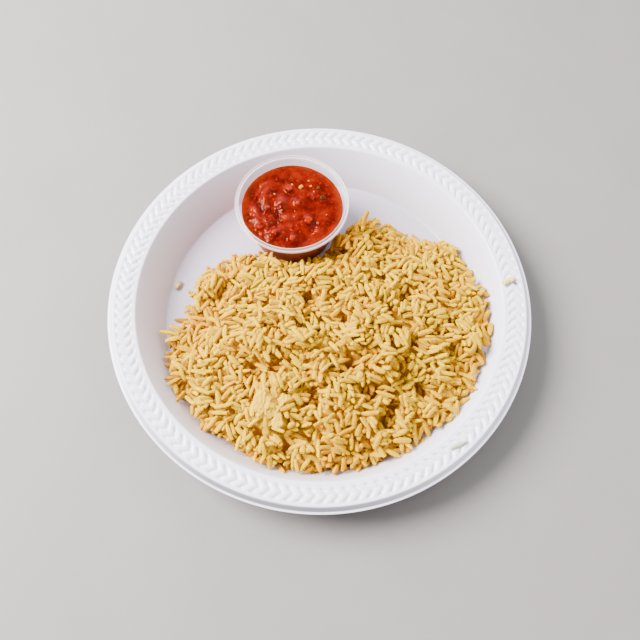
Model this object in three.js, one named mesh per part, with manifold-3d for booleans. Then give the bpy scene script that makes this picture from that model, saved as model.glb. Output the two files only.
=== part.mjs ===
// Plate of rice pilaf with a portion cup of tomato sauce. Millimetres, +Z up.
// The origin is the centre of the plate's underside; the front of the plate is -Y.
import * as THREE from 'three';
import { mergeVertices } from 'three/addons/utils/BufferGeometryUtils.js';
import Module from 'manifold-3d';

// Plate
const FLOOR_Z = 2.0;
const FLOOR_R = 85.2;
const WALL_FOOT = [87.4, 3.0];
const WALL_TOP = [98.7, 22.3];
const COLUMNS = 120;
const CHEVRON_TURN = -2.44;
const CHEVRON_PHASE = 0.55;
const CHEVRON_DEPTH = 0.38;
const BAND = { inner: 101.6, mid: 105.7, outer: 109.8, innerZ: 23.6, outerZ: 24.2, fade: 0.9 };
const PLATE_TOP = [[FLOOR_R, FLOOR_Z], WALL_FOOT, WALL_TOP, [99.9, 23.5]];
const PLATE_EDGE = [
  [110.9, 24.45], [112.3, 23.5], [113.1, 22.3], [114.1, 22.1], [114.3, 21.4],
  [112.0, 21.0], [110.6, 22.6], [101.4, 22.0], [100.1, 21.2], [89.3, 2.9], [86.6, 0],
];

// Sauce cup
const CUP = { x: -17.3, y: 53.0, segments: 40 };
const CUP_PROFILE = [
  [22.2, 2.3], [23.1, 3.2], [30.0, 31.4], [30.7, 32.3], [31.6, 32.5], [32.0, 33.2],
  [31.5, 34.0], [30.3, 34.0], [29.3, 32.6], [22.3, 3.3],
];
const CUP_INNER = { z0: 3.3, r0: 22.3, slope: 0.2389 };
const SAUCE_Z = 28.0;
const SAUCE_CHUNKS = 13;

// Rice heap: outline radius every 5 degrees about its own centre, as seen in the picture
const HEAP = { x: 4, y: -20, peakX: 18, peakY: -12, peakZ: 28.2 };
const HEAP_RADII = [
  88.2, 90.2, 91.6, 92.6, 94.2, 94.1, 93.7, 95.4, 97.4, 96.2, 90.9, 86.4,
  83.5, 84.0, 82.5, 80.0, 73.5, 64.0, 60.0, 57.5, 56.5, 56.5, 57.4, 59.6,
  63.0, 66.5, 71.0, 76.5, 81.6, 81.2, 83.8, 85.2, 83.4, 81.4, 81.3, 84.5,
  88.5, 87.4, 88.2, 87.8, 86.6, 85.0, 82.6, 82.3, 82.0, 79.5, 78.0, 77.0,
  75.6, 77.0, 77.2, 74.8, 75.7, 75.0, 74.4, 74.0, 74.0, 73.6, 72.6, 74.4,
  74.4, 73.8, 74.6, 74.8, 76.6, 78.8, 80.6, 80.6, 82.0, 83.4, 84.0, 85.8,
];
const HEAP_SIDES = 120;
const GAP = 0.3;
const GRAIN = { length: 7.6, width: 2.7, spacing: 2.35, ridge: 1.0, valley: -0.75 };
const GRAIN_TRIES = 60000;
const LOOSE_GRAINS = 24;
const LOOSE_LIFT = 0.95;

// Chicken piece half sunk in the heap, with its outline half-sizes
const CHICKEN = { x: -24.0, y: -61.0, z: 14.6, halfX: 11.4, halfY: 10.2, height: 11.8, sides: 14 };

// Grains and a crumb that lie away from the heap
const STRAYS = [
  { name: 'stray_grain_floor', x: -82.0, y: 14.2, z: 3.75, length: 5.6, width: 3.0, turn: 62, pitch: 0 },
  { name: 'stray_grain_rim', x: 70.4, y: -79.4, z: 25.75, length: 9.0, width: 2.5, turn: 24, pitch: 0 },
  { name: 'stray_crumb_rim', x: 102.7, y: 12.2, z: 25.9, length: 7.4, width: 3.2, turn: 20, pitch: 0 },
];

const COLOURS = {
  plate: 0xf1f2f6, cup: 0xe8e4e2, sauce: 0xb52a10, rice: 0xe3c777, chicken: 0xead0a0, pale: 0xe6e0bd, crumb: 0xe0c46c,
};

const rad = (degrees) => degrees * Math.PI / 180;
const clamp = (v, lo, hi) => Math.min(hi, Math.max(lo, v));

// Seeded random numbers, so every build is the same
function seeded(seed) {
  let s = seed >>> 0;
  return () => {
    s = (s + 0x6d2b79f5) >>> 0;
    let t = Math.imul(s ^ (s >>> 15), 1 | s);
    t = (t + Math.imul(t ^ (t >>> 7), 61 | t)) ^ t;
    return ((t ^ (t >>> 14)) >>> 0) / 4294967296;
  };
}

// A solid that is filled ring by ring and then closed
class Shell {
  constructor() {
    this.points = [];
    this.faces = [];
  }

  point(x, y, z) {
    this.points.push([x, y, z]);
    return this.points.length - 1;
  }

  ring(list) {
    return list.map((p) => this.point(...p));
  }

  face(a, b, c) {
    this.faces.push([a, b, c]);
  }

  // Two rings with the same number of points, or one with twice as many as the other
  bridge(a, b) {
    const n = Math.min(a.length, b.length);
    for (let i = 0; i < n; i += 1) {
      const j = (i + 1) % n;
      if (a.length === b.length) {
        this.face(a[i], b[i], b[j]);
        this.face(a[i], b[j], a[j]);
      } else if (b.length > a.length) {
        const last = (2 * i + 2) % b.length;
        this.face(a[i], b[2 * i], b[2 * i + 1]);
        this.face(a[i], b[2 * i + 1], a[j]);
        this.face(a[j], b[2 * i + 1], b[last]);
      } else {
        const last = (2 * i + 2) % a.length;
        this.face(a[2 * i], b[i], a[2 * i + 1]);
        this.face(a[2 * i + 1], b[i], b[j]);
        this.face(a[2 * i + 1], b[j], a[last]);
      }
    }
  }

  fanIn(centre, ring) {
    ring.forEach((p, i) => this.face(centre, p, ring[(i + 1) % ring.length]));
  }

  fanOut(ring, centre) {
    ring.forEach((p, i) => this.face(p, centre, ring[(i + 1) % ring.length]));
  }

  geometry() {
    const g = new THREE.BufferGeometry();
    g.setAttribute('position', new THREE.Float32BufferAttribute(this.points.flat(), 3));
    g.setIndex(this.faces.flat());
    return g;
  }
}

function circle(radius, z, count, offset = 0, cx = 0, cy = 0) {
  return Array.from({ length: count }, (_, i) => {
    const a = rad(offset) + (2 * Math.PI * i) / count;
    return [cx + radius * Math.cos(a), cy + radius * Math.sin(a), z];
  });
}

function named(name, geometry, colour, roughness) {
  const flat = geometry.index ? geometry.toNonIndexed() : geometry;
  flat.computeVertexNormals();
  const material = new THREE.MeshStandardMaterial({ color: colour, roughness, metalness: 0 });
  const mesh = new THREE.Mesh(flat, material);
  mesh.name = name;
  return mesh;
}

// Plate: floor, steep wall, rim with a band of chevrons, turned-down edge and flat underside
function buildPlate() {
  const shell = new Shell();
  const turn = CHEVRON_PHASE + CHEVRON_TURN;
  const plain = (r, z) => shell.ring(circle(r, z, COLUMNS, turn));
  const relief = (r, z, offset) => shell.ring(
    circle(r, z, 2 * COLUMNS, offset).map(([x, y, h], i) => [x, y, h + (i % 2 ? 1 : -1) * CHEVRON_DEPTH]),
  );
  const bandZ = (r) => BAND.innerZ + ((BAND.outerZ - BAND.innerZ) * (r - BAND.inner)) / (BAND.outer - BAND.inner);
  const rings = [
    ...PLATE_TOP.map(([r, z]) => plain(r, z)),
    plain(BAND.inner, BAND.innerZ),
    relief(BAND.inner + BAND.fade, bandZ(BAND.inner + BAND.fade), turn),
    relief(BAND.mid, bandZ(BAND.mid), CHEVRON_PHASE),
    relief(BAND.outer - BAND.fade, bandZ(BAND.outer - BAND.fade), turn),
    plain(BAND.outer, BAND.outerZ),
    ...PLATE_EDGE.map(([r, z]) => plain(r, z)),
  ];
  shell.fanIn(shell.point(0, 0, FLOOR_Z), rings[0]);
  for (let i = 0; i + 1 < rings.length; i += 1) shell.bridge(rings[i], rings[i + 1]);
  shell.fanOut(rings[rings.length - 1], shell.point(0, 0, 0));
  return shell.geometry();
}

// Cup: thin tapered wall with a rolled rim, open at the top
function buildCup() {
  const shell = new Shell();
  const rings = CUP_PROFILE.map(([r, z]) => shell.ring(circle(r, z, CUP.segments, 0, CUP.x, CUP.y)));
  const under = shell.point(CUP.x, CUP.y, CUP_PROFILE[0][1]);
  const inside = shell.point(CUP.x, CUP.y, CUP_PROFILE[CUP_PROFILE.length - 1][1]);
  rings.forEach((ring, i) => {
    if (i) shell.bridge(ring, rings[i - 1]);
  });
  rings[0].forEach((p, i) => shell.face(under, rings[0][(i + 1) % CUP.segments], p));
  rings[rings.length - 1].forEach((p, i, r) => shell.face(inside, p, r[(i + 1) % CUP.segments]));
  return shell.geometry();
}

// Delaunay triangulation of points in plan, by adding one point at a time
function triangulate(points) {
  const n = points.length;
  const big = 1e5;
  const nudge = 1e-3;
  const nudged = points.map(([x, y], i) => [x + nudge * Math.sin(12.9 * i), y + nudge * Math.cos(7.7 * i)]);
  const all = [...nudged, [-big, -big], [big, -big], [0, big]];
  const circum = (a, b, c) => {
    const [ax, ay] = all[a];
    const [bx, by] = [all[b][0] - ax, all[b][1] - ay];
    const [cx, cy] = [all[c][0] - ax, all[c][1] - ay];
    const d = 2 * (bx * cy - by * cx);
    const ux = (cy * (bx * bx + by * by) - by * (cx * cx + cy * cy)) / d;
    const uy = (bx * (cx * cx + cy * cy) - cx * (bx * bx + by * by)) / d;
    return { v: [a, b, c], x: ax + ux, y: ay + uy, r2: ux * ux + uy * uy };
  };
  let triangles = [circum(n, n + 1, n + 2)];
  for (let p = 0; p < n; p += 1) {
    const [x, y] = all[p];
    const edges = new Map();
    const keep = [];
    for (const t of triangles) {
      if ((t.x - x) ** 2 + (t.y - y) ** 2 < t.r2) {
        for (let k = 0; k < 3; k += 1) {
          const a = t.v[k];
          const b = t.v[(k + 1) % 3];
          const back = `${b},${a}`;
          if (edges.has(back)) edges.delete(back);
          else edges.set(`${a},${b}`, [a, b]);
        }
      } else {
        keep.push(t);
      }
    }
    for (const [a, b] of edges.values()) keep.push(circum(a, b, p));
    triangles = keep;
  }
  return triangles.map((t) => t.v).filter((v) => v.every((i) => i < n));
}

function insidePolygon(x, y, polygon) {
  let inside = false;
  for (let i = 0, j = polygon.length - 1; i < polygon.length; j = i, i += 1) {
    const [xi, yi] = polygon[i];
    const [xj, yj] = polygon[j];
    if ((yi > y) !== (yj > y) && x < ((xj - xi) * (y - yi)) / (yj - yi) + xi) inside = !inside;
  }
  return inside;
}

// Triangles of a top surface: boundary loop first, then the inner points
function topFaces(loop, inner) {
  const all = [...loop, ...inner].map(([x, y]) => [x, y]);
  const outline = loop.map(([x, y]) => [x, y]);
  return triangulate(all).filter((t) => {
    const x = (all[t[0]][0] + all[t[1]][0] + all[t[2]][0]) / 3;
    const y = (all[t[0]][1] + all[t[1]][1] + all[t[2]][1]) / 3;
    return insidePolygon(x, y, outline);
  });
}

// Sauce up to its level, with low lumps where the diced pieces lie
function buildSauce() {
  const random = seeded(41);
  const shell = new Shell();
  const radiusAt = (z) => CUP_INNER.r0 + (z - CUP_INNER.z0) * CUP_INNER.slope - GAP - 0.05;
  const top = radiusAt(SAUCE_Z);
  const count = CUP.segments;
  const loop = circle(top, SAUCE_Z, count, 0, CUP.x, CUP.y);
  const chunks = [[-4.5, -8.5, 3.2], [5.0, -8.0, 4.2]];
  const inner = [];
  for (let tries = 0; tries < 4000 && chunks.length < SAUCE_CHUNKS; tries += 1) {
    const r = (top - 4.6) * Math.sqrt(random());
    const a = 2 * Math.PI * random();
    const c = [r * Math.cos(a), r * Math.sin(a), 2.2 + 1.4 * random()];
    if (chunks.every((o) => Math.hypot(o[0] - c[0], o[1] - c[1]) > (o[2] + c[2]) * 1.25)) chunks.push(c);
  }
  for (const [x, y, size] of chunks) {
    const turn = rad(360 * random());
    for (let i = 0; i < 5; i += 1) {
      const a = turn + (2 * Math.PI * i) / 5;
      const high = SAUCE_Z + 0.8 + 0.5 * random();
      const at = (k) => [CUP.x + x + k * size * Math.cos(a), CUP.y + y + k * size * Math.sin(a)];
      inner.push([...at(0.72), high], [...at(1.15), SAUCE_Z - 0.15 + 0.3 * random()]);
    }
  }
  for (let tries = 0; tries < 5000; tries += 1) {
    const r = (top - 1.8) * Math.sqrt(random());
    const a = 2 * Math.PI * random();
    const p = [CUP.x + r * Math.cos(a), CUP.y + r * Math.sin(a), SAUCE_Z + 0.35 * (random() - 0.5)];
    if (inner.every((q) => Math.hypot(q[0] - p[0], q[1] - p[1]) > 2.3)) inner.push(p);
  }
  const rim = shell.ring(loop);
  shell.ring(inner);
  for (const t of topFaces(loop, inner)) shell.face(...t);
  const footZ = CUP_INNER.z0 + GAP;
  const foot = shell.ring(circle(radiusAt(footZ), footZ, count, 0, CUP.x, CUP.y));
  shell.bridge(rim, foot);
  shell.fanOut(foot, shell.point(CUP.x, CUP.y, footZ));
  return shell.geometry();
}

// Height of the plate's inner surface at a distance from its axis
function plateZ(r) {
  if (r <= FLOOR_R) return FLOOR_Z;
  if (r <= WALL_FOOT[0]) return FLOOR_Z + ((r - FLOOR_R) * (WALL_FOOT[1] - FLOOR_Z)) / (WALL_FOOT[0] - FLOOR_R);
  return WALL_FOOT[1] + ((r - WALL_FOOT[0]) * (WALL_TOP[1] - WALL_FOOT[1])) / (WALL_TOP[0] - WALL_FOOT[0]);
}

const CUP_CLEAR = 25.6;
const CUP_SIDE_Z = 10.2;

// Outline of the heap: the measured radii, kept clear of the cup
function heapRadius(angle) {
  const turns = ((angle / (2 * Math.PI)) % 1 + 1) % 1;
  const at = turns * HEAP_RADII.length;
  const i = Math.floor(at);
  const k = at - i;
  const measured = HEAP_RADII[i % HEAP_RADII.length] * (1 - k) + HEAP_RADII[(i + 1) % HEAP_RADII.length] * k;
  const dx = CUP.x - HEAP.x;
  const dy = CUP.y - HEAP.y;
  const along = dx * Math.cos(angle) + dy * Math.sin(angle);
  const across = dx * Math.sin(angle) - dy * Math.cos(angle);
  if (along > 0 && Math.abs(across) < CUP_CLEAR) {
    return Math.min(measured, along - Math.sqrt(CUP_CLEAR ** 2 - across ** 2));
  }
  return measured;
}

function heapEdge(angle, radius) {
  const x = HEAP.x + radius * Math.cos(angle);
  const y = HEAP.y + radius * Math.sin(angle);
  const r = Math.hypot(x, y);
  const lift = r > FLOOR_R ? 0.65 : GAP;
  const nearCup = Math.hypot(x - CUP.x, y - CUP.y) - CUP_CLEAR;
  const side = 0.9 + (CUP_SIDE_Z - 3.2) * clamp(1 - nearCup / 6, 0, 1);
  return { x, y, foot: plateZ(r) + lift, top: plateZ(r) + lift + side };
}

// Smooth height of the heap before the grains are laid on it
function heapZ(x, y) {
  const angle = Math.atan2(y - HEAP.y, x - HEAP.x);
  const s = clamp(Math.hypot(x - HEAP.x, y - HEAP.y) / heapRadius(angle), 0, 1);
  const edge = heapEdge(angle, heapRadius(angle));
  const shoulder = 3.4 * (1 - Math.exp(-(1 - s) * 14));
  const dome = Math.pow(1 - s ** 2.3, 1.15);
  const away = Math.hypot(x - HEAP.peakX, y - HEAP.peakY);
  const peak = HEAP.peakZ - 0.00042 * away * away - 0.03 * away;
  const swell = 1.1 * Math.sin(x * 0.085 + 1.3) * Math.cos(y * 0.1 - 0.4) + 0.7 * Math.sin(x * 0.19 + y * 0.13);
  const clump = 2.2 * Math.exp(-((x - 24.5) ** 2 + (y + 9.3) ** 2) / 110);
  const hollow = 4.2 * Math.exp(-(((x - 58) / 17) ** 2 + ((y + 50) / 8) ** 2));
  return edge.top + shoulder + (peak - edge.top - 3.4) * dome + (swell + clump - hollow) * Math.min(1, dome * 2);
}

function chickenOutline(scale, z, seed) {
  const random = seeded(seed);
  return Array.from({ length: CHICKEN.sides }, (_, i) => {
    const a = (2 * Math.PI * i) / CHICKEN.sides + 0.12;
    const square = 1 / Math.pow(Math.abs(Math.cos(a)) ** 3.2 + Math.abs(Math.sin(a)) ** 3.2, 1 / 3.2);
    const k = scale * square * (0.96 + 0.08 * random());
    return [CHICKEN.x + CHICKEN.halfX * k * Math.cos(a), CHICKEN.y + CHICKEN.halfY * k * Math.sin(a), z];
  });
}

// Chicken: a rough block with a split, fibrous top
function buildChicken() {
  const random = seeded(7);
  const shell = new Shell();
  const rough = (list, dz) => list.map(([x, y, z]) => [x, y, z + dz * (random() - 0.5)]);
  const top = CHICKEN.z + CHICKEN.height;
  const levels = [
    rough(chickenOutline(0.34, top + 0.6, 11), 1.6),
    rough(chickenOutline(0.72, top - 0.4, 12), 2.2),
    rough(chickenOutline(0.95, top - 2.6, 13), 1.2),
    chickenOutline(0.97, CHICKEN.z + 5.2, 14),
    chickenOutline(0.9, CHICKEN.z + 0.8, 15),
    chickenOutline(0.8, CHICKEN.z, 15),
  ].map((level) => shell.ring(level));
  shell.fanIn(shell.point(CHICKEN.x - 0.8, CHICKEN.y + 0.5, top + 0.2), levels[0]);
  for (let i = 0; i + 1 < levels.length; i += 1) shell.bridge(levels[i], levels[i + 1]);
  shell.fanOut(levels[levels.length - 1], shell.point(CHICKEN.x, CHICKEN.y, CHICKEN.z));
  return shell.geometry();
}

// Low-sided spindle for one loose grain
function buildGrain({ x, y, z, length, width, turn, pitch }, sides = 6) {
  const shell = new Shell();
  const at = (u, r, a) => [u, r * Math.cos(a), r * Math.sin(a)];
  const ring = (u, r) => shell.ring(
    Array.from({ length: sides }, (_, i) => at(u, r, (-2 * Math.PI * i) / sides)),
  );
  const stations = [[-0.36, 0.36], [0, 0.5], [0.36, 0.34]].map(([u, r]) => ring(u * length, r * width));
  shell.fanIn(shell.point(-0.5 * length, 0, 0), stations[0]);
  for (let i = 0; i + 1 < stations.length; i += 1) shell.bridge(stations[i], stations[i + 1]);
  shell.fanOut(stations[stations.length - 1], shell.point(0.5 * length, 0, 0));
  const g = shell.geometry();
  g.rotateY(rad(-pitch));
  g.rotateZ(rad(turn));
  g.translate(x, y, z);
  return g;
}

// Heap of rice: a core whose top is cut into grain-sized ridges, each with its own direction
function buildHeapCore() {
  const random = seeded(2024);
  const shell = new Shell();
  const sides = Array.from({ length: HEAP_SIDES }, (_, i) => {
    const angle = (2 * Math.PI * (i + 0.5)) / HEAP_SIDES;
    const clear = heapEdge(angle, heapRadius(angle));
    const free = Math.hypot(clear.x - CUP.x, clear.y - CUP.y) > CUP_CLEAR + 2.5;
    const wander = free ? 1.5 * (random() - 0.55) : 0;
    return { angle, ...heapEdge(angle, heapRadius(angle) + wander) };
  });
  const loop = sides.map(({ x, y, top }) => [x, y, top]);

  const pit = chickenOutline(1.02, 0, 14);
  const lip = chickenOutline(1.1, 0, 14);
  const low = pit.map(([x, y]) => [x, y, CHICKEN.z - 0.7]);
  const high = lip.map(([x, y]) => [x, y, heapZ(x, y)]);
  const inner = [...low, ...high, [CHICKEN.x, CHICKEN.y, CHICKEN.z - 0.7]];
  const lipPlan = lip.map(([x, y]) => [x, y]);

  const edgeFree = (x, y, margin) => loop.every((p) => Math.hypot(p[0] - x, p[1] - y) > margin);
  const usable = (x, y, margin) => insidePolygon(x, y, loop) && edgeFree(x, y, margin)
    && !insidePolygon(x, y, lipPlan) && high.every((p) => Math.hypot(p[0] - x, p[1] - y) > 1.3);
  const grains = [];
  for (let tries = 0; tries < GRAIN_TRIES; tries += 1) {
    const x = HEAP.x + 98 * (2 * random() - 1);
    const y = HEAP.y + 92 * (2 * random() - 1);
    const a = Math.PI * random();
    const u = [Math.cos(a), Math.sin(a)];
    const half = (GRAIN.length / 2) * (0.8 + 0.3 * random()) - 0.9;
    const ends = [[x - half * u[0], y - half * u[1]], [x + half * u[0], y + half * u[1]]];
    if (!ends.every((e) => usable(e[0], e[1], 2.0))) continue;
    const clash = grains.some((g) => {
      if (Math.hypot(g.x - x, g.y - y) > GRAIN.length + 1) return false;
      return g.marks.some((m) => [...ends, [x, y]].some((e) => Math.hypot(e[0] - m[0], e[1] - m[1]) < GRAIN.spacing));
    });
    if (!clash) grains.push({ x, y, u, ends, marks: [...ends, [x, y]] });
  }
  for (const g of grains) {
    const tilt = 1.2 * (random() - 0.5);
    const rise = GRAIN.ridge + 0.5 * (random() - 0.5);
    g.ends.forEach(([x, y], i) => inner.push([x, y, heapZ(x, y) + rise + (i ? tilt : -tilt)]));
  }
  for (const g of grains) {
    for (const side of [-1, 1]) {
      const x = g.x - side * g.u[1] * 1.75;
      const y = g.y + side * g.u[0] * 1.75;
      if (usable(x, y, 1.9) && inner.every((p) => Math.hypot(p[0] - x, p[1] - y) > 1.55)) {
        inner.push([x, y, heapZ(x, y) + GRAIN.valley]);
      }
    }
  }

  const rim = shell.ring(loop);
  shell.ring(inner);
  for (const t of topFaces(loop, inner)) shell.face(...t);
  const shrink = (s, r, z) => {
    const k = r / Math.hypot(s.x, s.y);
    return [s.x * k, s.y * k, z];
  };
  const foot = shell.ring(sides.map((s) => [s.x, s.y, s.foot]));
  const bend = shell.ring(sides.map((s) => {
    const r = Math.min(Math.hypot(s.x, s.y) - 1.4, WALL_FOOT[0] - 0.1);
    return shrink(s, r, plateZ(r) + (r > FLOOR_R ? 0.5 : GAP));
  }));
  const flat = shell.ring(sides.map((s) => shrink(s, Math.min(Math.hypot(s.x, s.y) - 2.8, FLOOR_R - 0.4), FLOOR_Z + GAP)));
  shell.bridge(rim, foot);
  shell.bridge(foot, bend);
  shell.bridge(bend, flat);
  shell.fanOut(flat, shell.point(HEAP.x, HEAP.y, FLOOR_Z + GAP));
  return { geometry: shell.geometry(), grains };
}

function looseGrains(grains) {
  const random = seeded(99);
  const list = [];
  for (let i = 0; i < grains.length && list.length < LOOSE_GRAINS; i += 1) {
    const g = grains[Math.floor(random() * grains.length)];
    const turn = 360 * random();
    const pitch = 10 * (random() - 0.5);
    const far = Math.hypot(g.x - CUP.x, g.y - CUP.y) > 37
      && Math.hypot(g.x - CHICKEN.x, g.y - CHICKEN.y) > 22
      && Math.hypot(g.x - HEAP.x, g.y - HEAP.y) < heapRadius(Math.atan2(g.y - HEAP.y, g.x - HEAP.x)) - 7
      && list.every((o) => Math.hypot(g.x - o.x, g.y - o.y) > 10);
    if (far) {
      list.push({ x: g.x, y: g.y, z: heapZ(g.x, g.y) + LOOSE_LIFT, length: GRAIN.length, width: GRAIN.width, turn, pitch });
    }
  }
  return list;
}

// Joins closed geometries into one closed solid
async function join(geometries) {
  const wasm = await Module();
  wasm.setup();
  const solids = geometries.map((geometry) => {
    const g = geometry.clone();
    g.deleteAttribute('normal');
    g.deleteAttribute('uv');
    const merged = mergeVertices(g, 1e-5);
    return new wasm.Manifold(new wasm.Mesh({
      numProp: 3,
      vertProperties: new Float32Array(merged.attributes.position.array),
      triVerts: new Uint32Array(merged.index.array),
    }));
  });
  const mesh = solids.reduce((sum, solid) => sum.add(solid)).getMesh();
  const out = new THREE.BufferGeometry();
  out.setAttribute('position', new THREE.Float32BufferAttribute(mesh.vertProperties, 3));
  out.setIndex(Array.from(mesh.triVerts));
  return out;
}

const part = new THREE.Group();
part.name = 'rice_pilaf_plate';
part.add(named('plate', buildPlate(), COLOURS.plate, 0.35));
part.add(named('sauce_cup', buildCup(), COLOURS.cup, 0.12));
part.add(named('sauce', buildSauce(), COLOURS.sauce, 0.25));
const core = buildHeapCore();
const loose = looseGrains(core.grains).map((grain) => buildGrain(grain, 5));
part.add(named('rice', await join([core.geometry, ...loose]), COLOURS.rice, 0.6));
part.add(named('chicken_piece', buildChicken(), COLOURS.chicken, 0.55));
for (const stray of STRAYS) {
  const colour = stray.name === 'stray_crumb_rim' ? COLOURS.crumb : COLOURS.pale;
  part.add(named(stray.name, buildGrain(stray), colour, 0.5));
}

export default part;
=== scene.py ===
"""White disposable plate of rice pilaf with a clear portion cup of tomato sauce, at real size."""
import functools
import math

import bmesh
import bpy
import numpy as np
from mathutils import Matrix, Vector, noise


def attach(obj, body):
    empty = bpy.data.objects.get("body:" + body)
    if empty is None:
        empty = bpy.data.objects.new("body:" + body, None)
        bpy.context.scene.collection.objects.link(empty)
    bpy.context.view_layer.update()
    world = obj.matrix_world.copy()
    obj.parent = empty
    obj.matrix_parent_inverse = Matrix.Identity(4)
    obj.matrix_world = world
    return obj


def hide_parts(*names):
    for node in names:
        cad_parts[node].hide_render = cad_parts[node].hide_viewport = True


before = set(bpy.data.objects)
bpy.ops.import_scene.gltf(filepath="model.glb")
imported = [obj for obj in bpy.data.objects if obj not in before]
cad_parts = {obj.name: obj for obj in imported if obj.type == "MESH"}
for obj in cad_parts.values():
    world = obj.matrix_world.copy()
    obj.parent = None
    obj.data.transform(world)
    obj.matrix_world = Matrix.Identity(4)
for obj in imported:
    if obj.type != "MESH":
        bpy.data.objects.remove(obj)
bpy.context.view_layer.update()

MM = 0.001

# Camera at the photograph's view
CAM_ELEVATION = math.radians(66.52)
CAM_ROLL = math.radians(1.7)
CAM_TARGET = (0.3, -13.3, 22.0)
CAM_DISTANCE = 359.8
CAM_FOCAL_PX = 671.7
IMAGE_PX = 640

# Plate, in millimetres like all that follows
FLOOR_Z = 2.0
FLOOR_R = 85.2
WALL_FOOT = (87.4, 3.0)
WALL_TOP = (98.7, 22.3)
WALL_END = (99.9, 23.5)
BAND_INNER, BAND_MID, BAND_OUTER = 101.6, 105.7, 109.8
BAND_INNER_Z, BAND_OUTER_Z = 23.6, 24.2
BAND_FADE = 0.9
BAND_LOW_SIDE = 23.0
CHEVRONS = 120
CHEVRON_PHASE = 0.55
CHEVRON_TURN = 1.5
CHEVRON_ARM = 3.2
CHEVRON_DEPTH = 0.4
DIMPLE_RADII = (103.0, 108.9)
PLATE_SEGMENTS = 1200
# Radius, height and corner radius, from the floor's centre over the rim to the underside's centre
PLATE_PROFILE = [
    (0, 2.0, 0), (40, 2.0, 0), (70, 2.0, 0), (86.8, 2.0, 1.8), (99.45, 23.5, 1.5),
    (BAND_INNER, BAND_INNER_Z, 0),
    "band",
    (BAND_OUTER, BAND_OUTER_Z, 0), (111.0, 24.5, 0.9), (113.1, 22.15, 0.7), (114.3, 22.1, 0.35),
    (114.3, 21.3, 0.35), (112.0, 21.05, 0.5), (110.5, 22.7, 0.9), (101.3, 22.05, 0.9), (99.9, 20.9, 0.8),
    (89.0, 2.4, 1.2), (86.8, 0, 1.2), (60, 0, 0), (30, 0, 0), (0, 0, 0),
]

# Sauce cup: its outline runs from the underside's centre over the rim to the inner floor's centre
CUP_X, CUP_Y = -17.3, 53.0
CUP_SEGMENTS = 160
CUP_PROFILE = [
    (0, 2.9, 0), (20.6, 2.9, 0.5), (21.3, 2.3, 0.3), (22.4, 2.3, 0.4), (23.1, 3.3, 0.6), (29.9, 31.2, 0.8),
    (30.6, 32.1, 0.5), (31.4, 32.2, 0.25), (31.8, 32.0, 0.15), (32.0, 32.4, 0.2), (32.0, 33.7, 0.2),
    (31.75, 33.95, 0.12), (31.4, 33.8, 0.15), (31.1, 33.45, 0.3), (30.4, 33.45, 0.3), (30.15, 33.85, 0.15),
    (29.9, 34.0, 0.12), (29.6, 33.7, 0.3), (29.25, 31.0, 0.5), (22.45, 3.7, 0.8), (0, 3.6, 0),
]
# Inside of the cup's wall: heights and radii at its foot and top
CUP_INNER_Z, CUP_INNER_R = (3.7, 31.0), (22.45, 29.25)
# How milky the cup's wall is, over its top 4 mm
CUP_VEIL = ((0.0, 0.05), (0.1, 0.15), (0.48, 0.15), (0.55, 0.38), (0.66, 0.1), (0.9, 0.14), (0.97, 0.48))
SAUCE_Z = 28.0
SAUCE_FOOT_Z = 3.45
SAUCE_FIT = 0.2

# Rice heap: outline radius every 5 degrees about its own centre
HEAP_X, HEAP_Y = 4.0, -20.0
PEAK_X, PEAK_Y, PEAK_Z = 18.0, -12.0, 28.2
HEAP_RADII = np.array([
    88.2, 90.2, 91.6, 92.6, 94.2, 94.1, 93.7, 95.4, 97.4, 96.2, 90.9, 86.4,
    83.5, 85.5, 86.0, 84.5, 76.5, 64.5, 60.0, 57.5, 56.5, 56.5, 57.4, 59.6,
    63.0, 66.5, 71.0, 76.5, 81.6, 81.2, 83.8, 85.2, 83.4, 81.4, 81.3, 84.5,
    88.5, 87.4, 88.2, 87.8, 86.6, 85.0, 82.6, 82.3, 82.0, 79.5, 78.0, 77.0,
    75.6, 77.0, 77.2, 74.8, 75.7, 75.0, 74.4, 74.0, 74.0, 73.6, 72.6, 74.4,
    74.4, 73.8, 74.6, 74.8, 76.6, 78.8, 80.6, 80.6, 82.0, 83.4, 84.0, 85.8,
])
# Radius about the cup's axis that the heap leaves free, and the heap's height there
CUP_CLEAR = 25.6
CUP_SIDE_Z = 10.2
# Height of the heap's steep edge, and the width over which its relief fades out
SHOULDER, EDGE_FADE = 3.4, 7

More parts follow.
